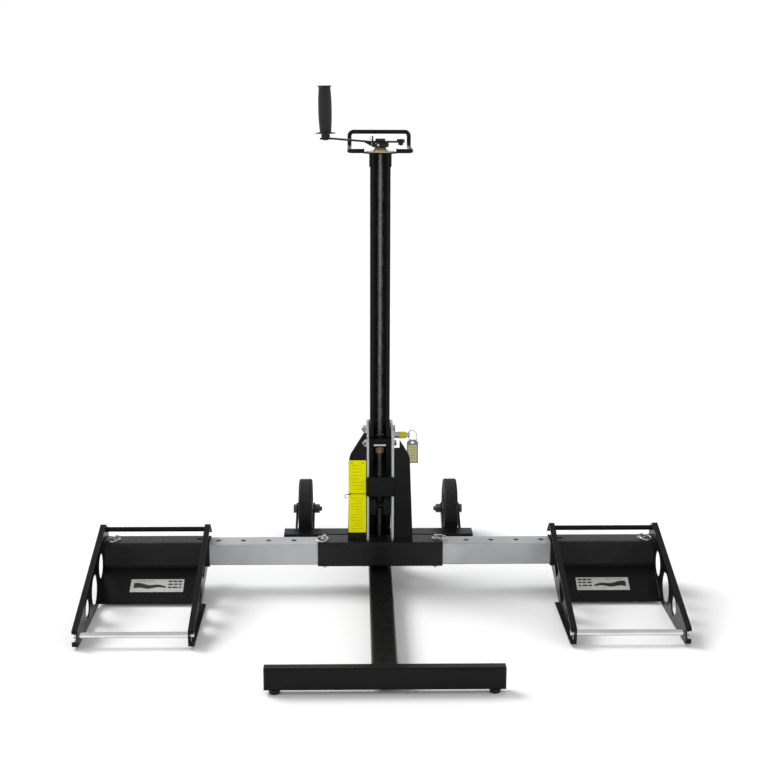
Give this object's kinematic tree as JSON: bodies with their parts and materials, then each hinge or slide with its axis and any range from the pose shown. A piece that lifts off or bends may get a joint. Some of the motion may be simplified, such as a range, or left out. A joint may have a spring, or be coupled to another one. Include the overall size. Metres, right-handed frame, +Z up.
{
  "type": "lawn mower lift",
  "caption": "Wheeled floor lift with an upright mast, a hand-cranked screw carriage and two sliding wheel pans on telescoping arms, for tipping up a ride-on mower.",
  "frame": {"origin": "centre of the lift's outline, on the floor", "axes": "+Z up, +X to the right along the cross tube, -Y towards the foot bar and the mower"},
  "size_m": [1.267, 0.9746, 1.1205],
  "materials": {
    "black_paint": "satin powder coat",
    "black_steel": "black oxide",
    "zinc": "bright zinc plate",
    "chrome": "polished",
    "brass": "machined",
    "tyre_rubber": "matte",
    "pad_rubber": "matte",
    "hub_plastic": "moulded",
    "cap_plastic": "moulded",
    "grip_plastic": "fine grain",
    "nylon": "machined",
    "yellow_plastic": "moulded",
    "tag_card": "printed card"
  },
  "bodies": {
    "base": {"base_tube": "black_paint", "foot_bar": "black_paint", "rear_tube": "black_paint", "end_caps": "cap_plastic", "foot_pads": "pad_rubber", "mast_foot_plate": "black_paint", "wheel_forks": "black_paint", "axle_bolts": "zinc", "axle_washers": "zinc", "mast_channel": "black_paint", "mast_collar": "black_paint", "top_plate": "black_paint", "thrust_washer": "zinc", "thrust_bearing": "brass", "screw_foot_bush": "nylon", "handle_loop": "black_paint"},
    "crank": {"lead_screw": "zinc", "crank_hub": "black_steel", "crank_nut": "black_steel", "crank_arm": "black_steel", "crank_arm_bolt": "black_steel", "grip_spindle": "black_steel"},
    "grip": {"crank_grip": "grip_plastic"},
    "carriage": {"cross_tube": "black_paint", "left_arm": "zinc", "right_arm": "zinc", "left_wing_plate": "black_paint", "right_wing_plate": "black_paint", "front_brace": "black_paint", "side_plates": "zinc", "nut_carrier": "black_paint", "nut_washer": "zinc", "lift_nut": "brass", "guide_pads": "nylon", "mast_liners": "nylon", "guide_spacer": "black_steel", "carriage_bolts": "zinc", "plunger_housing": "zinc"},
    "lock_plunger": {"plunger_pin": "zinc", "plunger_sleeve": "yellow_plastic", "pull_ring": "zinc", "pull_tag": "tag_card"},
    "left_arm_pin": {"left_arm_pin": "zinc"},
    "left_pan": {"left_pan_sleeve": "black_paint", "left_pan_sides": "black_paint", "left_floor_plate": "black_paint", "left_back_rod": "black_paint", "left_front_rod": "chrome"},
    "left_pan_pin": {"left_pan_pin": "zinc"},
    "left_wheel": {"left_tyre": "tyre_rubber", "left_hub": "hub_plastic"},
    "right_arm_pin": {"right_arm_pin": "zinc"},
    "right_pan": {"right_pan_sleeve": "black_paint", "right_pan_sides": "black_paint", "right_floor_plate": "black_paint", "right_back_rod": "black_paint", "right_front_rod": "chrome"},
    "right_pan_pin": {"right_pan_pin": "zinc"},
    "right_wheel": {"right_tyre": "tyre_rubber", "right_hub": "hub_plastic"}
  },
  "joints": [
    {"name": "crank_turn", "type": "hinge", "parent": "base", "child": "crank", "pos_m": [0, 0.1707, 1], "axis": [0, 0, -1], "range_deg": [0, 42480]},
    {"name": "grip_spin", "type": "hinge", "parent": "crank", "child": "grip", "pos_m": [-0.12, 0.1707, 1.008], "axis": [-0.0175, 0, 0.9998], "continuous": true},
    {"name": "carriage_lift", "type": "slide", "parent": "base", "child": "carriage", "axis": [0, 0, 1], "range_m": [0, 0.59]},
    {"name": "plunger_pull", "type": "slide", "parent": "carriage", "child": "lock_plunger", "axis": [1, 0, 0], "range_m": [0, 0.012], "stiffness_N_per_m": 1500, "springref_m": -0.004},
    {"name": "left_arm_pin_pull", "type": "slide", "parent": "carriage", "child": "left_arm_pin", "axis": [0, 0, 1], "range_m": [0, 0.072]},
    {"name": "left_pan_slide", "type": "slide", "parent": "carriage", "child": "left_pan", "axis": [1, 0, 0], "range_m": [0, 0.2286]},
    {"name": "left_pan_pin_pull", "type": "slide", "parent": "left_pan", "child": "left_pan_pin", "axis": [0, 0, 1], "range_m": [0, 0.072]},
    {"name": "left_wheel_spin", "type": "hinge", "parent": "base", "child": "left_wheel", "pos_m": [-0.181, 0.4123, 0.075], "axis": [1, 0, 0], "continuous": true},
    {"name": "right_arm_pin_pull", "type": "slide", "parent": "carriage", "child": "right_arm_pin", "axis": [0, 0, 1], "range_m": [0, 0.072]},
    {"name": "right_pan_slide", "type": "slide", "parent": "carriage", "child": "right_pan", "axis": [-1, 0, 0], "range_m": [0, 0.2286]},
    {"name": "right_pan_pin_pull", "type": "slide", "parent": "right_pan", "child": "right_pan_pin", "axis": [0, 0, 1], "range_m": [0, 0.072]},
    {"name": "right_wheel_spin", "type": "hinge", "parent": "base", "child": "right_wheel", "pos_m": [0.181, 0.4123, 0.075], "axis": [1, 0, 0], "continuous": true}
  ],
  "couplings": [
    {"joint": "carriage_lift", "follows": "crank_turn", "m_per_rad": 0.00079577}
  ]
}
